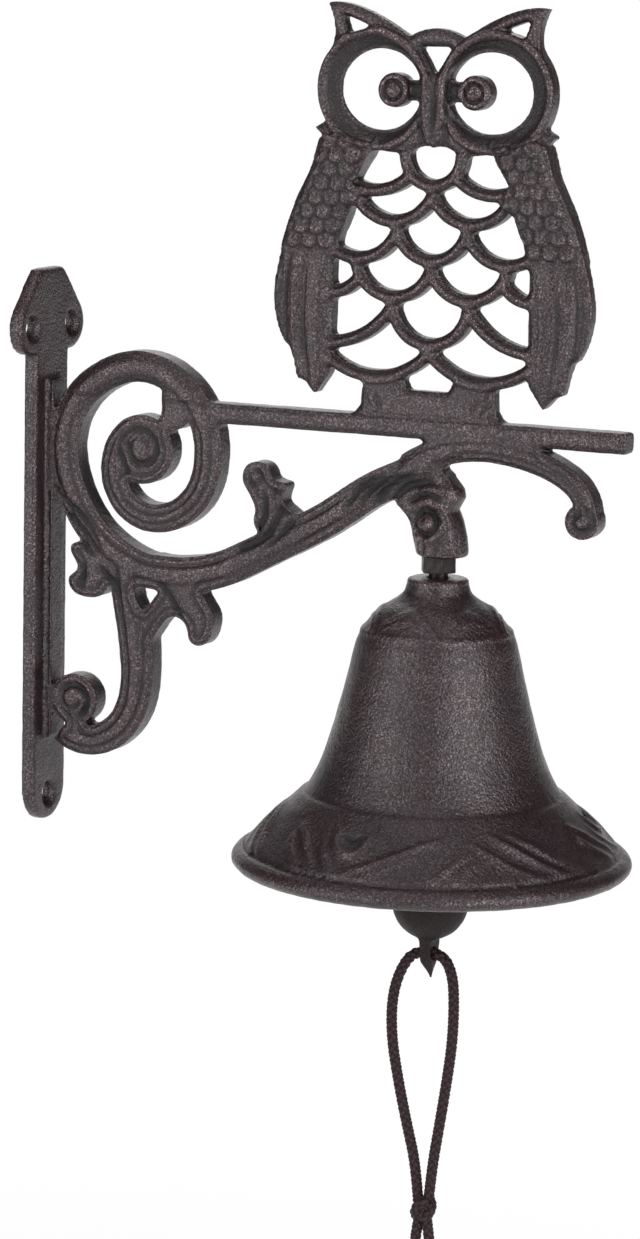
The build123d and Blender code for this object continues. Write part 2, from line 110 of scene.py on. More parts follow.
# Inner edge of the wings' small feathers: its heights, and its distances from the owl's centre line
wing_heights = [50, 54, 62.5, 66, 71.5, 84]
wing_sides = [32, 30.6, 27.2, 24, 25.8, 18.4]

# Spiral grooves: centre, first and last radius, first angle and turn in degrees
spirals = [((38.0, 34.0), 8.8, 4.2, 235, -430), ((14.6, -48.5), 6.6, 2.6, -60, 400)]
spirals += [((187.6, 22.6), 4.6, 2.2, 60, -330)]

# Carved lines on the bracket: points, half width and height
leaf_lines = [([(110.5, 21.5), (112.8, 26.2), (116.6, 29.8), (122.5, 31.5)], 0.9, -1.2)]
leaf_lines += [([(115.4, 22.4), (117.4, 26.8), (121.4, 30.2), (127.2, 32.6)], 0.9, -1.2)]
leaf_lines += [([(120.4, 23.6), (122.8, 27.8), (127.0, 30.6), (132.6, 33.0)], 0.9, -1.2)]
leaf_lines += [([(125.4, 24.4), (128.6, 28.2), (132.8, 30.4), (138.6, 31.6)], 0.9, -1.1)]
leaf_lines += [([(130.0, 23.6), (134.2, 27.0), (139.6, 28.2), (143.0, 26.0)], 0.9, -1.0)]
leaf_lines += [([(81.5, 23.8), (82.4, 18.3), (80.0, 11.8), (74.0, 6.5)], 0.8, -0.9)]
leaf_lines += [([(88.0, 20.4), (85.5, 13.9), (81.3, 8.4), (72.7, 4.9)], 0.8, -0.9)]
leaf_lines += [([(92.0, 16.0), (87.8, 10.9), (82.7, 6.5)], 0.7, -0.7)]
leaf_lines += [([(84.5, 24.5), (87.5, 23.5)], 0.6, -0.6), ([(86, 18.6), (91, 18)], 0.6, -0.6)]
leaf_lines += [([(8.0, 18.1), (11.7, 15.2), (17.1, 12.4), (21.3, 7.9), (24.0, 1.7)], 0.8, -0.9)]
leaf_lines += [([(9.4, 14.2), (13.6, 9.7), (19.0, 6.1), (22.7, 0.4)], 0.8, -0.9)]
leaf_lines += [([(9.0, 10.6), (12.7, 6.4), (18.2, 2.4), (21.4, -1.7)], 0.8, -0.9)]
leaf_lines += [([(23.7, -4.8), (28.2, -8.4), (30.5, -13.9)], 0.9, -0.8)]
leaf_lines += [([(46, -8), (50, -13), (52.5, -19), (55.6, -21.5)], 0.9, -0.7)]
leaf_lines += [([(16, -3), (19, -8), (16.5, -11.5)], 0.8, -0.7)]
leaf_rings = [((77.9, 28.6), 2.6)]
boss_lines = [([(131.5, 22.6), (134.6, 25.4), (139, 26.0), (142.4, 24.0), (143.6, 20.8)], 1.0, 0.7)]
boss_lines += [([(133, 20.5), (135.6, 23.2), (139.4, 23.4), (141.6, 21.0)], 0.8, -0.6)]
boss_lines += [([(141.8, 24), (142.4, 17), (141.6, 9)], 1.1, -0.7)]
boss_lines += [([(144.4, 22), (145.2, 15), (145.6, 9)], 1.1, 0.5)]

# Boss: its button, its rounds of smoothing, and how far it is pushed out along its height
button_place = (137.6, 18.8)
button_radius = 3.2
boss_rounds = 34
boss_heights = [6, 9, 14, 19, 22.5, 26.5, 30, 33]
boss_shifts = [2.4, 2.3, 1.7, 0.3, -1.3, 0.9, 0.4, 0.0]
flare_heights = [6, 9, 14, 20]
flare_shifts = [0.9, 0.8, 0.3, 0.0]

# Carved lines of one side of the owl, from its centre line and the perch
owl_lines = [([(0, 103), (0, 96), (0, 88), (0, 84)], 0.9, -1.0)]
owl_lines += [([(3.0, 104.5), (2.9, 97), (2.6, 88), (0.7, 82.6)], 0.7, 0.7)]
owl_lines += [([(5.0, 103), (4.5, 97), (4.8, 88), (3.4, 83.4)], 0.7, -0.8)]
owl_lines += [([(47.2, 18), (48.4, 27), (48.6, 40), (46.6, 50)], 0.7, -0.8)]
owl_lines += [([(39.6, 8), (41.8, 20), (42.4, 36), (40.6, 50)], 0.7, -0.9)]
owl_lines += [([(36.5, 10), (37.4, 22), (37.4, 34), (36.4, 47)], 0.6, 0.4)]
owl_lines += [([(44.4, 13), (45.4, 24), (45.6, 36), (44.2, 48)], 0.6, 0.45)]
owl_lines += [([(50.2, 27), (50.6, 36), (49.4, 47)], 0.6, -0.5)]
owl_lines += [([(15.5, 2), (16.5, 5.5), (18.2, 6.4)], 0.6, -0.5), ([(18.6, 2), (19.6, 5.2), (21.2, 5.6)], 0.6, -0.5)]
owl_lines += [([(11, 114), (20, 119), (28, 122.2), (34.5, 124)], 0.7, 0.5)]
owl_lines += [([(29.5, 114.8), (32, 120), (34.4, 123.8)], 0.6, 0.45)]
owl_lines += [([(29.5, 84.5), (33, 88.5), (37, 88)], 0.6, -0.5), ([(28, 80.5), (33, 84), (36.6, 83.6)], 0.6, -0.5)]

# Relief of the bell: arches round the shoulder and a leaf band on the skirt, repeated round it
arch_count = 6
arch_foot = -15.2
arch_rise = 7.4
band_repeats = 3
band_phase = 24.9
band_radius = 50
band_stretch = 1.35
crown_drops = [-9, -7, -5, -3, -1, 0.5]
crown_shifts = [0, -0.4, -0.1, 0.8, 1.3, 0.9]
skirt_lines = [([(1, -71.6), (-6, -73.4), (-15, -76.6), (-30, -81.6)], 1.25, 0.85)]
skirt_lines += [([(-5, -75.6), (-14, -78.8), (-24, -82.2)], 1.1, 0.45)]
skirt_lines += [([(-4, -82.4), (2, -80.4), (6, -77.4), (12, -74.4)], 1.2, 0.7)]
skirt_lines += [([(4, -82.6), (9, -79.8), (15, -76.8)], 1.0, 0.45)]
skirt_lines += [([(21, -71.2), (27, -73.6), (34, -78.2), (44, -82.6)], 1.25, 0.85)]
skirt_lines += [([(28, -70.8), (35, -73.6), (42, -78.4), (51, -82.4)], 1.2, 0.8)]
skirt_lines += [([(13, -72.6), (19, -75.4), (25, -79.2), (34, -82.4)], 1.1, 0.5)]
skirt_lines += [([(-39, -71.0), (-38, -75.2), (-31.5, -77.4), (-25.6, -75.4), (-25.8, -71.4)], 1.2, 0.8)]
skirt_lines += [([(-35.5, -71.4), (-32.5, -74.0), (-29, -71.8)], 0.9, -0.6)]
skirt_lines += [([(-66, -72.4), (-60, -74.6), (-55, -78.6), (-48, -82.0)], 1.25, 0.75)]
skirt_lines += [([(-59, -71.4), (-53, -74.2), (-47, -78.2), (-42, -80.8)], 1.1, 0.6)]
skirt_lines += [([(-44, -73.6), (-40, -78.6), (-34, -81.6), (-29, -82.6)], 1.1, 0.5)]

# Room: its level on the object, and what gloss sees of it beside the white backdrop
room_level = 0.35
dim_room = 0.05
backdrop_starts = 0.82
backdrop_full = 0.96
floor_half = 4.0
floor_drop = 0.2
floor_glow = 0.90
glow_starts = 0.55
glow_full = 0.8
lit_middle = (0.12, 0, 0.03)

# Soft boxes: name, place, width, height and power
soft_boxes = [("left_box", (-0.42, -0.95, 0.30), 0.50, 1.2, 8), ("right_box", (1.15, -0.50, 0.25), 0.90, 1.2, 13)]
soft_boxes += [("top_box", (0.1, -0.25, 1.1), 0.7, 0.7, 3), ("back_box", (-0.5, 1.2, 0.9), 0.8, 0.8, 4)]

# Thread on the bolt, M6
thread_radius = 2.97 * MM
thread_pitch = 1.0 * MM
thread_depth = 0.5 * MM
thread_sides = 48
thread_steps = 60


def new_material(name):
    """A material with an empty node tree and its shader, ready to be wired."""
    material = bpy.data.materials.new(name)
    material.use_nodes = True
    nodes = material.node_tree.nodes
    return material, nodes, material.node_tree.links, nodes["Principled BSDF"]


def noise(nodes, links, coordinate, scale, detail=4.0, roughness=0.55, distortion=0.0):
    """A noise texture on the given coordinate, with its value output returned."""
    texture = nodes.new("ShaderNodeTexNoise")
    texture.inputs["Scale"].default_value = scale
    texture.inputs["Detail"].default_value = detail
    texture.inputs["Roughness"].default_value = roughness
    texture.inputs["Distortion"].default_value = distortion
    links.new(coordinate, texture.inputs["Vector"])
    return texture.outputs["Fac"]


def ramp(nodes, links, value, stops):
    """A colour ramp with (position, colour) stops, with its colour output returned."""
    band = nodes.new("ShaderNodeValToRGB")
    while len(band.color_ramp.elements) < len(stops):
        band.color_ramp.elements.new(0.5)
    for element, (position, colour) in zip(band.color_ramp.elements, stops):
        element.position = position
        element.color = (*colour, 1.0)
    links.new(value, band.inputs["Fac"])
    return band.outputs["Color"]


def mix_colours(nodes, links, share, first, second, blend="MIX"):
    """Two colours mixed by a value, with the colour output returned."""
    mixer = nodes.new("ShaderNodeMix")
    mixer.data_type = "RGBA"
    mixer.blend_type = blend
    if isinstance(share, float):
        mixer.inputs["Factor"].default_value = share
    else:
        links.new(share, mixer.inputs["Factor"])
    for socket, colour in ((mixer.inputs["A"], first), (mixer.inputs["B"], second)):
        if isinstance(colour, tuple):
            socket.default_value = (*colour, 1.0)
        else:
            links.new(colour, socket)
    return mixer.outputs["Result"]


def bump(nodes, links, height, distance, strength=1.0, under=None):
    """A bump layer over another one, with its normal output returned."""
    layer = nodes.new("ShaderNodeBump")
    layer.inputs["Strength"].default_value = strength
    layer.inputs["Distance"].default_value = distance
    links.new(height, layer.inputs["Height"])
    if under is not None:
        links.new(under, layer.inputs["Normal"])
    return layer.outputs["Normal"]


def larger(nodes, links, first, second):
    """The larger of two values."""
    chooser = nodes.new("ShaderNodeMath")
    chooser.operation = "MAXIMUM"
    links.new(first, chooser.inputs[0])
    links.new(second, chooser.inputs[1])
    return chooser.outputs[0]


def map_range(nodes, links, value, low, high, least, most):
    """A value carried from low and high to least and most."""
    change = nodes.new("ShaderNodeMapRange")
    change.inputs["From Min"].default_value = low
    change.inputs["From Max"].default_value = high
    change.inputs["To Min"].default_value = least
    change.inputs["To Max"].default_value = most
    links.new(value, change.inputs["Value"])
    return change.outputs["Result"]


def cast_iron(name, dark, mid, light, grain=1.0, gloss_low=0.25, gloss_high=0.35, shine=0.5, rubbing=1.0):
    """Sand-cast iron with an antique brown finish: grain, pits and rubbed edges, with painted shade darkening creases
    and carved recesses.
    """
    material, nodes, links, shader = new_material(name)
    place = nodes.new("ShaderNodeTexCoord").outputs["Object"]
    broad = noise(nodes, links, place, 60, 3.0, 0.6)
    sand = noise(nodes, links, place, 980 / grain, 3.0, 0.6)
    fine = noise(nodes, links, place, 1750 / grain, 2.0, 0.6)
    base = ramp(nodes, links, fine, [(0.36, dark), (0.46, mid), (0.53, mid), (0.60, light)])
    tint = ramp(nodes, links, broad, [(0.35, (0.80, 0.76, 0.79)), (0.65, (1.15, 1.06, 1.05))])
    base = mix_colours(nodes, links, 1.0, base, tint, "MULTIPLY")
    # Rubbed wear lightens the ridges; painted shade darkens creases and recesses.
    geometry = nodes.new("ShaderNodeNewGeometry").outputs["Pointiness"]
    edges = ramp(nodes, links, geometry, [(0.42, (0.35, 0.33, 0.35)), (0.5, (1.0, 1.0, 1.0)), (0.57, (1.7, 1.6, 1.6))])
    base = mix_colours(nodes, links, 1.0, base, edges, "MULTIPLY")
    # Painted shade, stored on the mesh by the relief: darkens carved recesses, grooves and the rims under feather
    # tips, and dulls them.
    carved = nodes.new("ShaderNodeAttribute")
    carved.attribute_name = "painted_shade"
    painted_shade = ramp(nodes, links, carved.outputs["Fac"], [(0.0, (1.0, 1.0, 1.0)), (1.0, (0.22, 0.20, 0.21))])
    base = mix_colours(nodes, links, 1.0, base, painted_shade, "MULTIPLY")
    links.new(base, shader.inputs["Base Color"])
    gloss = ramp(nodes, links, broad, [(0.3, (gloss_high,) * 3), (0.7, (gloss_low,) * 3)])
    dull = ramp(nodes, links, carved.outputs["Fac"], [(0.0, (0.0, 0.0, 0.0)), (1.0, (0.3, 0.3, 0.3))])
    links.new(mix_colours(nodes, links, 1.0, gloss, dull, "ADD"), shader.inputs["Roughness"])
    rubbed = ramp(nodes, links, fine, [(0.53, (0.0, 0.0, 0.0)), (0.60, (rubbing,) * 3)])
    links.new(mix_colours(nodes, links, 1.0, rubbed, painted_shade, "MULTIPLY"), shader.inputs["Metallic"])
    shader.inputs["IOR"].default_value = 1.5
    shader.inputs["Specular IOR Level"].default_value = shine
    coarse = bump(nodes, links, sand, 0.42 * MM * grain, 1.0)
    links.new(bump(nodes, links, fine, 0.12 * MM * grain, 0.8, coarse), shader.inputs["Normal"])
    return material


def coated_steel(name):
    """Small screwed and bent steel pieces with a dark brown coat, slightly rubbed."""
    material, nodes, links, shader = new_material(name)
    place = nodes.new("ShaderNodeTexCoord").outputs["Object"]
    worn = noise(nodes, links, place, 700, 4.0)
    coat = [(0.3, (0.008, 0.006, 0.006)), (0.6, (0.020, 0.014, 0.014)), (0.8, (0.05, 0.04, 0.038))]
    base = ramp(nodes, links, worn, coat)
    links.new(base, shader.inputs["Base Color"])
    shader.inputs["Metallic"].default_value = 0.55
    gloss = ramp(nodes, links, worn, [(0.3, (0.5, 0.5, 0.5)), (0.7, (0.34, 0.34, 0.34))])
    links.new(gloss, shader.inputs["Roughness"])
    links.new(bump(nodes, links, worn, 0.08 * MM, 0.7), shader.inputs["Normal"])
    return material


def braided_fibre(name):
    """Dark maroon polyester fibre for the cord's strands, with painted shade between them."""
    material, nodes, links, shader = new_material(name)
    place = nodes.new("ShaderNodeTexCoord").outputs["Object"]
    strands = noise(nodes, links, place, 2400, 3.0)
    dye = [(0.3, (0.016, 0.006, 0.008)), (0.55, (0.040, 0.016, 0.020)), (0.8, (0.070, 0.034, 0.038))]
    base = ramp(nodes, links, strands, dye)
    # Painted shade: the valleys between the plaited strands are darkened.
    plaited = nodes.new("ShaderNodeAttribute")
    plaited.attribute_name = "painted_shade"
    shade = ramp(nodes, links, plaited.outputs["Fac"], [(0.1, (1.0, 1.0, 1.0)), (0.75, (0.12, 0.10, 0.11))])
    base = mix_colours(nodes, links, 1.0, base, shade, "MULTIPLY")
    links.new(base, shader.inputs["Base Color"])
    shader.inputs["Roughness"].default_value = 0.68
    shader.inputs["Specular IOR Level"].default_value = 0.3
    shader.inputs["Sheen Weight"].default_value = 0.06
    shader.inputs["Sheen Roughness"].default_value = 0.4
    links.new(bump(nodes, links, strands, 0.12 * MM, 0.8), shader.inputs["Normal"])
    return material


def dress(piece, material):
    """Give a piece one material in every slot."""
    piece.data.materials.clear()
    piece.data.materials.append(material)


def read_vertices(mesh):
    """The places of the mesh's vertices as an array."""
    values = np.empty(len(mesh.vertices) * 3)
    mesh.vertices.foreach_get("co", values)
    return values.reshape(-1, 3)


def write_places(piece, places):
    """Put changed places, in millimetres, back in a piece's mesh."""
    piece.data.vertices.foreach_set("co", (places * MM).ravel())
    piece.data.update()


def settle(copy):
    """Put the result of a copy's modifiers in its mesh, and take the modifiers away."""
    bpy.context.view_layer.update()
    graph = bpy.context.evaluated_depsgraph_get()
    mesh = bpy.data.meshes.new_from_object(copy.evaluated_get(graph), depsgraph=graph)
    copy.modifiers.clear()
    copy.data = mesh


def fine_copy(node, voxel, rounds):
    """A finely and evenly meshed copy of a CAD node, its edges softened by rounds of smoothing."""
    copy = bpy.data.objects.new(node + "_cast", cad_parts[node].data.copy())
    bpy.context.scene.collection.objects.link(copy)
    remesh = copy.modifiers.new("remesh", "REMESH")
    remesh.mode = "VOXEL"
    remesh.voxel_size = voxel
    smooth = copy.modifiers.new("smooth", "SMOOTH")
    smooth.factor = 0.5
    smooth.iterations = rounds
    settle(copy)
    return copy


def soften(piece, rounds, chosen):
    """Round off a chosen part of a mesh by further smoothing."""
    group = piece.vertex_groups.new(name="soft")
    group.add([int(index) for index in np.flatnonzero(chosen)], 1.0, "REPLACE")
    smooth = piece.modifiers.new("soften", "SMOOTH")
    smooth.factor = 0.5
    smooth.iterations = rounds
    smooth.vertex_group = "soft"
    settle(piece)


def thin(piece):
    """Take away triangles where the surface is plain, down to the set most for a piece."""
    count = sum(len(face.vertices) - 2 for face in piece.data.polygons)
    if count > most_triangles:
        thinner = piece.modifiers.new("thin", "DECIMATE")
        thinner.ratio = most_triangles / count
        settle(piece)


def near_boss(places):
    """The places on the boss and the leaf that holds it, in millimetres."""
    x, y, z = places.T
    return (x > 127) & (x < 148.5) & (z > 7.2) & (z < 33)


def shape_boss(piece):
    """Round the boss into its leaf, drawn in below the hook of the leaf and flared at its foot."""
    soften(piece, boss_rounds, near_boss(read_vertices(piece.data) / MM))
    places = read_vertices(piece.data) / MM
    chosen = near_boss(places)
    x, y, z = places.T
    out = ease((x - bell_axis / MM) / np.maximum(np.hypot(x - bell_axis / MM, y), 0.1), 0.0, 0.8)
    shift = np.interp(z, boss_heights, boss_shifts) * out * chosen
    flare = np.interp(z, flare_heights, flare_shifts) * chosen * np.sign(y) * ease(abs(y), 3, 6)
    places[:, 0] += shift * ease(z, 7.2, 8.2)
    places[:, 1] += flare * ease(z, 7.2, 8.2)
    write_places(piece, places)


def casting(node, body, voxel, rounds, material, relief=None, shape=None):
    """A fine copy of a CAD node with its relief, which stands for the node."""
    piece = fine_copy(node, voxel, rounds)
    if shape:
        shape(piece)
    mesh = piece.data
    places = read_vertices(mesh)
    normals = np.array([normal.vector for normal in mesh.vertex_normals])
    height = lumps(places / MM)
    if relief:
        carved, painted_shade = relief(places / MM, normals)
        height += carved
        # Painted shade from the relief, kept on the points for the material.
        depth = mesh.attributes.new("painted_shade", "FLOAT", "POINT")
        depth.data.foreach_set("value", np.clip(painted_shade / 0.8, 0, 1))
    places += normals * height[:, None] * MM
    mesh.vertices.foreach_set("co", places.ravel())
    mesh.update()
    thin(piece)
    piece.data.polygons.foreach_set("use_smooth", [True] * len(piece.data.polygons))
    dress(piece, material)
    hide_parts(node)
    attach(piece, body)
    return piece


def lumps(places):
    """The gentle unevenness of a sand casting."""
    return np.array([field.noise(Vector(place) / lump_size) + 0.5 * field.noise(Vector(place) / lump_size * 2.7)
                     for place in places]) * lump_height


def ease(values, low, high):
    """A smooth step from 0 at low to 1 at high."""
    share = np.clip((values - low) / (high - low), 0, 1)
    return share * share * (3 - 2 * share)


def line_distance(across, up, points):
    """The distance of each place from a smooth line through the points, and its share of the way along it."""
    curve = bpy.data.curves.new("line", "CURVE")
    route = curve.splines.new("NURBS")
    route.points.add(len(points) - 1)
    for point, (x, z) in zip(route.points, points):
        point.co = (x, 0, z, 1)
    route.order_u = 3
    route.use_endpoint_u = True
    route.resolution_u = 5
    line = bpy.data.objects.new("line", curve)
    path = bpy.data.meshes.new_from_object(line)
    corners = [(vertex.co.x, vertex.co.z) for vertex in path.vertices]
    bpy.data.objects.remove(line)
    nearest = np.full(len(across), 1e3)
    along = np.zeros(len(across))
    for index, ((x0, z0), (x1, z1)) in enumerate(zip(corners, corners[1:])):
        run = max((x1 - x0) ** 2 + (z1 - z0) ** 2, 1e-9)
        share = np.clip(((across - x0) * (x1 - x0) + (up - z0) * (z1 - z0)) / run, 0, 1)
        distance = np.hypot(across - x0 - share * (x1 - x0), up - z0 - share * (z1 - z0))
        along = np.where(distance < nearest, (index + share) / (len(corners) - 1), along)
        nearest = np.minimum(nearest, distance)
    return nearest, along


def carve(across, up, lines):
    """The height of carved lines, ridges above zero and grooves below."""
    height = np.zeros(len(across))
    for points, width, rise in lines:
        distance, along = line_distance(across, up, points)
        taper = 0.25 + 0.75 * np.sin(pi * along) ** 0.6
        height += rise * taper * (np.exp(-(distance / width) ** 2) + 0.35 * np.exp(-(distance / width / 2.6) ** 2))
    return height


def spiral_grooves(across, up):
    """Grooves that wind into the scrolls' eyes."""
    height = np.zeros(len(across))
    for (x, z), first, last, start, turn in spirals:
        shares = [step / 8 for step in range(9)]
        points = []
        for share in shares:
            radius = first + (last - first) * share
            angle = radians(start + turn * share)
            points.append((x + radius * cos(angle), z + radius * sin(angle)))
        height -= 1.0 * np.exp(-(line_distance(across, up, points)[0] / 0.95) ** 2)
    return height


def feathers(side, up):
    """Feathers on the wings' upper half, raised towards their rounded tips, and painted shade under the tips."""
    height = np.zeros(len(side))
    painted_shade = np.zeros(len(side))
    for row in range(feather_rows):
        row_start = first_feather[0] - row * feather_pitch / 2 + 0.6 * (row // 2)
        middle = first_feather[1] + row * feather_row_pitch
        for feather in range(-2, feathers_in_row + 1):
            across = side - row_start - feather * feather_pitch
            radius = np.where(up < middle, np.hypot(across, up - middle), abs(across))
            inside = (radius < feather_radius) & (up < middle + feather_row_pitch * 1.2)
            tip = ease(middle + feather_row_pitch - up, 0, feather_row_pitch + feather_radius * 0.6)
            shape = 1.25 * tip - 0.9 * ease(radius, feather_radius - 1.1, feather_radius)
            shape = shape - 0.25 * np.exp(-(across / 0.5) ** 2)
            height = np.where(inside, shape, height)
            rim = ease(radius, feather_radius - 1.0, feather_radius - 0.1)
            painted_shade = np.where(inside, rim, painted_shade)
    return height, painted_shade


def wing_share(side, up):
    """1 inside the part of the wings that carries the small feathers."""
    inner = np.interp(up, wing_heights, wing_sides)
    return ease(side - inner, -0.6, 0.4) * ease(up, 47.5, 48.5) * (1 - ease(up, 85, 87))


def bracket_relief(places, normals):
    """Rounded edges, rims, grooves, leaves and feathers on both faces of the bracket."""
    x, y, z = places.T
    flat = ease(abs(normals[:, 1]), 0.55, 0.9) * (abs(y) < flat_reach)
    walls = np.flatnonzero((abs(normals[:, 1]) < 0.45) & (abs(y) < 1.4))
    tree = KDTree(len(walls))
    for wall in walls:
        tree.insert((x[wall], 0, z[wall]), int(wall))
    tree.balance()
    edge = np.full(len(places), 10.0)
    for place in np.flatnonzero(flat > 0):
        edge[place] = tree.find((x[place], 0, z[place]))[2]
    rounding = -edge_drop * np.clip(1 - edge / edge_width, 0, 1) ** 2
    height = np.zeros(len(places))
    leaves = ease(x, 104, 109) * (1 - ease(x, 146, 150)) + (z < 22) * ease(x, 66, 70) * (1 - ease(x, 94, 98))
    scrolls = (1 - ease(z, 40, 44)) * ease(x, 8, 12) * (1 - leaves)
    height += scrolls * 0.4 * np.exp(-((edge - 1.5) / 0.5) ** 2)
    height -= scrolls * 0.5 * np.exp(-((edge - 2.8) / 0.6) ** 2)
    height += 1.35 * carve(x, z, leaf_lines) * (z < perch_top)
    height += spiral_grooves(x, z)
    for (ring_x, ring_z), radius in leaf_rings:
        height -= 0.6 * np.exp(-((np.hypot(x - ring_x, z - ring_z) - radius) / 0.7) ** 2)
    boss = (x > 129) & (x < 147.5) & (z > 7) & (z < 31)
    face = ease(abs(normals[:, 1]), 0.35, 0.7) * boss
    button = np.hypot(x - button_place[0], z - button_place[1])
    knob = 1.5 * np.clip(1 - (button / button_radius) ** 2, 0, 1) - 1.3 * np.exp(-((button - 3.7) / 0.8) ** 2)
    knob += 0.8 * np.exp(-((button - 5.2) / 0.8) ** 2) * ease(20 - z, 0, 2)
    boss_height = face * (knob + carve(x, z, boss_lines))
    side = abs(x - owl_centre)
    up = z - perch_top
    height += (up > 0) * carve(side, up, owl_lines)
    feather_height, feather_painted_shade = feathers(side, up)
    share = wing_share(side, up)
    height += feather_height * share * ease(edge, 0.2, 2.6)
    eye = np.hypot(side - eye_centre[0], up - eye_centre[1])
    dish = np.clip((eye - eye_inner_radius) / (eye_outer_radius - eye_inner_radius), 0, 1)
    height -= 0.9 * np.sin(pi * dish)
    height += 0.35 * np.exp(-((eye - 17.9) / 0.7) ** 2) * (side > 4)
    height += (up > 0) * 1.2 * (1 - np.exp(-edge / 3.5))
    pupil = np.hypot(side - pupil_centre[0], up - pupil_centre[1])
    rings = 0.35 * np.exp(-((pupil - 4.3) / 0.6) ** 2) - 0.6 * np.exp(-((pupil - 2.9) / 0.6) ** 2)
    height += (pupil < pupil_radius) * rings
    height += 0.5 * np.clip(1 - (pupil / 2.2) ** 2, 0, 1)
    height = height * flat * (1 - face * ease(26 - z, 0, 2)) + boss_height
    # Painted shade: darker over the owl above the perch, in grooves and low places, at rounded edges and at the rims
    # under the feather tips.
    painted_shade = 0.45 * (up > 0) * flat * (1 - share) - height * (1 - share) - 0.2 * rounding * flat
    return height + rounding * flat, painted_shade + feather_painted_shade * share * flat


def bell_relief(places, normals):
    """Arches round the shoulder and swirling leaves round the skirt, on the outside only."""
    x, y, z = places.T
    x = x - bell_axis / MM
    radius = np.hypot(x, y)
    outward = (x * normals[:, 0] + y * normals[:, 1]) / np.maximum(radius, 0.1)
    outside = ease(outward, 0.0, 0.15)
    angle = np.degrees(np.arctan2(x, -y)) - band_phase
    share = (angle * arch_count / 360) % 1
    arch = arch_foot + arch_rise * np.sin(pi * share) ** 0.7
    height = 0.45 * np.exp(-((z - arch) / 0.8) ** 2) + 0.3 * np.exp(-((z - arch + 2.4) / 0.7) ** 2)
    height = height * ease(z, -16.4, -15.0)
    around = (angle + 180 / band_repeats) % (360 / band_repeats) - 180 / band_repeats
    lines = [([(radians(turn) * band_radius, drop * band_stretch) for turn, drop in points], width, rise)
             for points, width, rise in skirt_lines]
    band = carve(np.radians(around) * band_radius, z * band_stretch, lines)
    height = height + band * ease(z, -83.6, -82.4) * (1 - ease(z, -70.4, -69.2))
    # Painted shade between the raised leaf lines of the skirt band.
    return height * outside, (0.25 - height) * outside * ease(z, -83, -82) * (1 - ease(z, -70.5, -69.5))


def shape_crown(piece):
    """Square up the bell's crown below the lock nut, with a recess under its rim."""
    places = read_vertices(piece.data) / MM
    x, y, z = places.T
    x = x - bell_axis / MM
    radius = np.hypot(x, y)
    shift = np.interp(z - bell_top / MM, crown_drops, crown_shifts)
    shift = shift * ease(radius, 5.0, 8.0) / np.maximum(radius, 1)
    places[:, 0] += x * shift
    places[:, 1] += y * shift
    write_places(piece, places)


def shape_tail(piece):
    """Bring the clapper's tail to a point."""
    places = read_vertices(piece.data) / MM
    x, y, z = places.T
    tip = z.min()
    share = ease(z - tip, 0, 4.5)
    places[:, 0] = bell_axis / MM + 0.7 * (1 - share) + (x - bell_axis / MM) * (0.22 + 0.78 * share)
    places[:, 1] = y * (0.5 + 0.5 * share)
    places[:, 2] -= 0.9 * (1 - share)
    write_places(piece, places)


def set_camera():
    """The camera at the photograph's place, with its small roll."""
    back = Vector((sin(camera_azimuth) * cos(camera_elevation), -cos(camera_azimuth) * cos(camera_elevation),
                   sin(camera_elevation)))
    level = Vector((cos(camera_azimuth), sin(camera_azimuth), 0))
    up = back.cross(level)
    right = level * cos(camera_roll) + up * sin(camera_roll)
    upward = up * cos(camera_roll) - level * sin(camera_roll)
    data = bpy.data.cameras.new("camera")
    data.sensor_fit = "VERTICAL"
    data.sensor_height = sensor_size
    data.lens = focal_pixels * sensor_size / image_height
    data.clip_end = 20
    camera = bpy.data.objects.new("camera", data)
    bpy.context.scene.collection.objects.link(camera)
    turn = Matrix((right, upward, back)).transposed().to_4x4()
    camera.matrix_world = Matrix.Translation(camera_place) @ turn
    bpy.context.scene.camera = camera


def area_light(name, place, aim, width, height, power):
    """One soft box at a place, turned to its aim."""
    data = bpy.data.lights.new(name, "AREA")
    data.shape = "RECTANGLE"
    data.size = width
    data.size_y = height
    data.energy = power
    light = bpy.data.objects.new(name, data)
    light.location = place
    light.rotation_euler = (Vector(aim) - Vector(place)).to_track_quat("-Z", "Y").to_euler()
    bpy.context.scene.collection.objects.link(light)


def room_seen(nodes, links, ray):
    """1 for the rays that see the room itself: the camera's, mirrored and transmitted ones."""
    first = larger(nodes, links, ray.outputs["Is Camera Ray"], ray.outputs["Is Glossy Ray"])
    return larger(nodes, links, first, ray.outputs["Is Transmission Ray"])


def set_light():
    """A white backdrop, a dim room beside it for gloss, and soft boxes round the object."""
    world = bpy.data.worlds.new("room")
    bpy.context.scene.world = world
    world.use_nodes = True
    nodes = world.node_tree.nodes
    links = world.node_tree.links
    background = nodes["Background"]
    background.inputs["Color"].default_value = (1, 1, 1, 1)
    ray = nodes.new("ShaderNodeLightPath")
    toward = nodes.new("ShaderNodeVectorMath")
    toward.operation = "DOT_PRODUCT"
    links.new(nodes.new("ShaderNodeTexCoord").outputs["Generated"], toward.inputs[0])
    toward.inputs[1].default_value = (-sin(camera_azimuth), cos(camera_azimuth), 0)
    backdrop = map_range(nodes, links, toward.outputs["Value"], backdrop_starts, backdrop_full, dim_room, 1.0)
    straight = larger(nodes, links, ray.outputs["Is Camera Ray"], ray.outputs["Is Transmission Ray"])
    strength = nodes.new("ShaderNodeMix")
    strength.inputs["A"].default_value = room_level
    strength.inputs["B"].default_value = 1.0
    links.new(straight, strength.inputs["Factor"])
    mirrored = nodes.new("ShaderNodeMix")
    links.new(ray.outputs["Is Glossy Ray"], mirrored.inputs["Factor"])
    links.new(strength.outputs["Result"], mirrored.inputs["A"])
    links.new(backdrop, mirrored.inputs["B"])
    links.new(mirrored.outputs["Result"], background.inputs["Strength"])
    for name, place, width, height, power in soft_boxes:
        area_light(name, place, lit_middle, width, height, power)


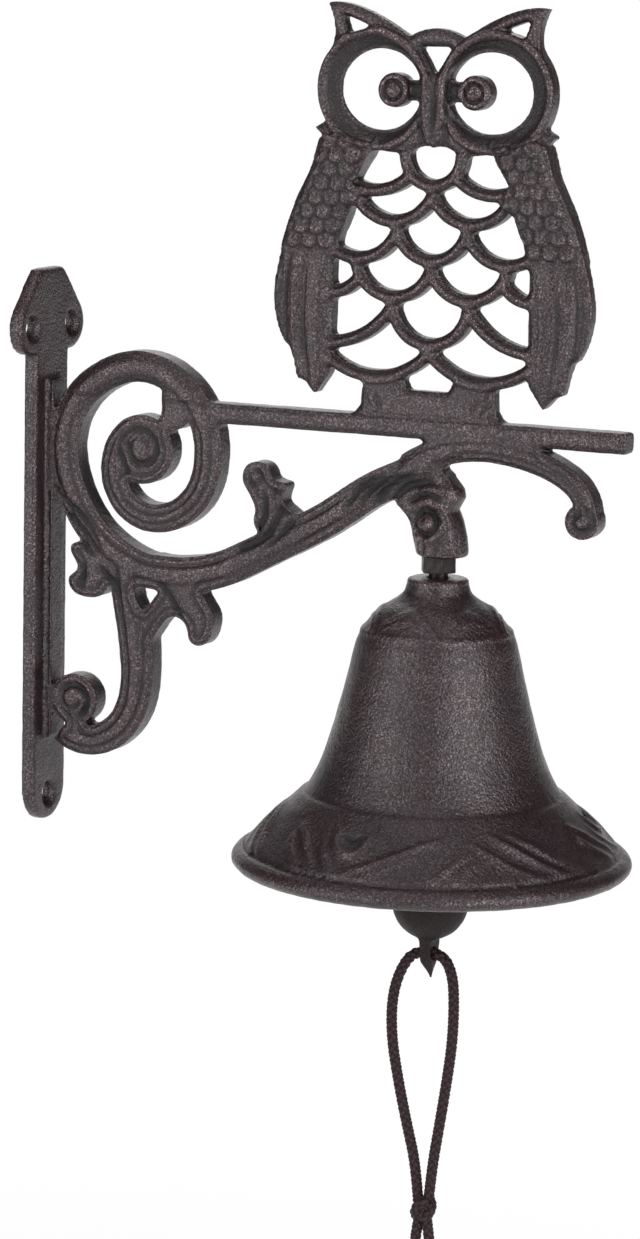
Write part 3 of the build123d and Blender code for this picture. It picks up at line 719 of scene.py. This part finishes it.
def set_stage():
    """A pale floor well below the bell, which the camera sees as white."""
    mesh = bpy.data.meshes.new("floor")
    half = floor_half
    level = knot_low.z - floor_drop
    corners = [(-half, -half, level), (half, -half, level), (half, half, level), (-half, half, level)]
    mesh.from_pydata(corners, [], [(0, 1, 2, 3)])
    floor = bpy.data.objects.new("floor", mesh)
    bpy.context.scene.collection.objects.link(floor)
    material, nodes, links, shader = new_material("pale_floor")
    place = nodes.new("ShaderNodeTexCoord").outputs["Object"]
    base = ramp(nodes, links, noise(nodes, links, place, 3.0), [(0.3, (0.80, 0.80, 0.80)), (0.7, (0.84, 0.84, 0.84))])
    links.new(base, shader.inputs["Base Color"])
    shader.inputs["Roughness"].default_value = 0.9
    glow = nodes.new("ShaderNodeEmission")
    glow.inputs["Color"].default_value = (1, 1, 1, 1)
    blend = nodes.new("ShaderNodeMixShader")
    ray = nodes.new("ShaderNodeLightPath")
    away = nodes.new("ShaderNodeVectorMath")
    away.operation = "LENGTH"
    links.new(place, away.inputs[0])
    fade = map_range(nodes, links, away.outputs["Value"], glow_starts, glow_full, floor_glow, 1.0)
    share = nodes.new("ShaderNodeMath")
    share.operation = "MULTIPLY"
    links.new(fade, share.inputs[1])
    links.new(room_seen(nodes, links, ray), share.inputs[0])
    links.new(share.outputs[0], blend.inputs["Fac"])
    links.new(shader.outputs["BSDF"], blend.inputs[1])
    links.new(glow.outputs["Emission"], blend.inputs[2])
    links.new(blend.outputs["Shader"], nodes["Material Output"].inputs["Surface"])
    dress(floor, material)


def cord_path():
    """The points along the cord's hanging loop, a smooth line through the route."""
    curve = bpy.data.curves.new("cord_route", "CURVE")
    curve.dimensions = "3D"
    line = curve.splines.new("NURBS")
    line.points.add(len(cord_route) - 1)
    for point, (across, up) in zip(line.points, cord_route):
        point.co = (bell_axis + across * MM, 0, cord_hole_height + up * MM, 1)
    line.order_u = 3
    line.use_endpoint_u = True
    line.resolution_u = 60
    route = bpy.data.objects.new("cord_route", curve)
    path = bpy.data.meshes.new_from_object(route)
    points = [vertex.co.copy() for vertex in path.vertices]
    bpy.data.objects.remove(route)
    return points


def braid_height(turn, run):
    """The height of eight plaited strands at a share of the turn and a run along the cord."""
    first = 4 * turn + run
    second = 4 * turn - run
    over = np.sin(pi * (first % 1))
    under = np.sin(pi * (second % 1))
    on_top = (np.floor(first) + np.floor(second)) % 2 == 0
    return np.where(on_top, over * (0.6 + 0.4 * under), under * (0.6 + 0.4 * over))


def tube_faces(start, rings, sides):
    """The faces of a closed tube whose rings of corners follow each other from the start."""
    faces = []
    for ring in range(rings - 1):
        for side in range(sides):
            first = start + ring * sides
            after = (side + 1) % sides
            faces.append((first + side, first + after, first + sides + after, first + sides + side))
    faces.append(tuple(range(start, start + sides))[::-1])
    faces.append(tuple(range(start + (rings - 1) * sides, start + rings * sides)))
    return faces


def braid(name, routes, radius, pitch, material):
    """Braided cord as one mesh: a tube along each list of points, its surface plaited from eight strands."""
    sides = braid_sides
    turns = np.arange(sides) / sides
    corners = []
    faces = []
    heights = []
    for points in routes:
        start = len(corners)
        run = 0.0
        out = Vector((0, 1, 0)).cross(points[1] - points[0]).normalized()
        for index, point in enumerate(points):
            heading = (points[min(index + 1, len(points) - 1)] - points[max(index - 1, 0)]).normalized()
            out = (out - heading * out.dot(heading)).normalized()
            across = heading.cross(out)
            if index:
                run += (point - points[index - 1]).length
            height = braid_height(turns, run / pitch)
            heights.extend(height)
            for turn, reach in zip(turns, radius + 0.12 * MM - 0.5 * MM * (1 - height)):
                corners.append(point + out * reach * cos(tau * turn) + across * reach * sin(tau * turn))
        faces += tube_faces(start, len(points), sides)
    mesh = bpy.data.meshes.new(name)
    mesh.from_pydata(corners, [], faces)
    # Painted shade in the valleys between strands, kept on the points for the fibre's colour.
    depth = mesh.attributes.new("painted_shade", "FLOAT", "POINT")
    depth.data.foreach_set("value", 1 - np.clip(np.array(heights) / 0.8, 0, 1))
    mesh.polygons.foreach_set("use_smooth", [True] * len(mesh.polygons))
    piece = bpy.data.objects.new(name, mesh)
    bpy.context.scene.collection.objects.link(piece)
    dress(piece, material)
    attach(piece, "clapper")
    return piece


def smooth_path(points, resolution, closed=False):
    """Points along a smooth line through the given ones, in metres."""
    curve = bpy.data.curves.new("path", "CURVE")
    curve.dimensions = "3D"
    line = curve.splines.new("NURBS")
    line.points.add(len(points) - 1)
    for point, place in zip(line.points, points):
        point.co = (*place, 1)
    line.order_u = 3
    line.use_endpoint_u = not closed
    line.use_cyclic_u = closed
    line.resolution_u = resolution
    route = bpy.data.objects.new("path", curve)
    path = bpy.data.meshes.new_from_object(route)
    places = [vertex.co.copy() for vertex in path.vertices]
    bpy.data.objects.remove(route)
    return places + places[:1] if closed else places


def tied_knot(material):
    """The knot: a trefoil of cord pulled tight, with the loop's two ends run through it and out below."""
    middle = Vector((bell_axis, 0, knot_high.z - 3.2 * MM))
    turns = []
    for step in range(knot_steps):
        angle = tau * step / knot_steps
        reach = (2.0 + 0.95 * cos(3 * angle)) * MM
        turns.append(middle + Vector((reach * cos(2 * angle), reach * sin(2 * angle), 2.9 * MM * sin(3 * angle))))
    ends = []
    for side in (-1, 1):
        ends.append([middle + Vector((side * across * MM, 0, up * MM)) for across, up in knot_end])
    routes = [smooth_path(turns, 8, True)] + [smooth_path(end, 24) for end in ends]
    knot = braid("tied_knot", routes, cord_diameter / 2, braid_pitch, material)
    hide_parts("cord_knot")
    return knot


def pull_cord(material):
    """The braided cord, from its knot up through the clapper's tail and back down."""
    points = cord_path()
    knot = tied_knot(material)
    cord = braid("pull_cord_braid", [points], cord_diameter / 2, braid_pitch, material)
    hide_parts("pull_cord")


def bolt_thread(material):
    """The bolt's screw thread where it shows, between the lock nut and the bell's crown."""
    sides = thread_sides
    steps = thread_steps
    low = bell_top - 5 * MM
    high = bell_top + 4 * MM
    corners = []
    for step in range(steps + 1):
        height = low + (high - low) * step / steps
        for side in range(sides):
            turn = side / sides
            phase = (height / thread_pitch - turn) % 1
            reach = thread_radius - thread_depth * (1 - abs(2 * phase - 1))
            corners.append((bell_axis + reach * cos(tau * turn), reach * sin(tau * turn), height))
    mesh = bpy.data.meshes.new("bolt_thread")
    mesh.from_pydata(corners, [], tube_faces(0, steps + 1, sides))
    thread = bpy.data.objects.new("bolt_thread", mesh)
    bpy.context.scene.collection.objects.link(thread)
    dress(thread, material)
    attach(thread, "bracket")


brown_dark = (0.006, 0.0025, 0.003)
brown_mid = (0.020, 0.0085, 0.0100)
brown_light = (0.125, 0.117, 0.124)
# Painted shade: the clapper's iron is a darker copy of the bell's, for the shade it hangs in under the bell; it is
# also duller and not rubbed.
clapper_painted_shade_mid = (0.010, 0.0055, 0.006)
clapper_painted_shade_light = (0.018, 0.011, 0.012)
bracket_iron = cast_iron("bracket_iron", brown_dark, brown_mid, brown_light)
bell_iron = cast_iron("bell_iron", brown_dark, brown_mid, brown_light)
clapper_iron_painted_shade = cast_iron("clapper_iron_painted_shade", brown_dark, clapper_painted_shade_mid, clapper_painted_shade_light, 1.0, 0.5, 0.62, 0.25, 0.0)
steel = coated_steel("fastener_steel")
fibre = braided_fibre("cord_fibre")

set_camera()
set_light()
set_stage()
pull_cord(fibre)
bolt_thread(steel)
casting("bracket", "bracket", bracket_voxel, 3, bracket_iron, bracket_relief, shape_boss)
casting("bell", "bell", bell_voxel, 3, bell_iron, bell_relief, shape_crown)
casting("clapper", "clapper", clapper_voxel, 3, clapper_iron_painted_shade, None, shape_tail)
casting("lock_nut", "bracket", nut_voxel, 5, steel)
for node in ("eye_bolt", "inner_washer", "inner_nut", "clapper_link"):
    dress(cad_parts[node], steel)

bpy.context.scene.view_settings.view_transform = "Standard"
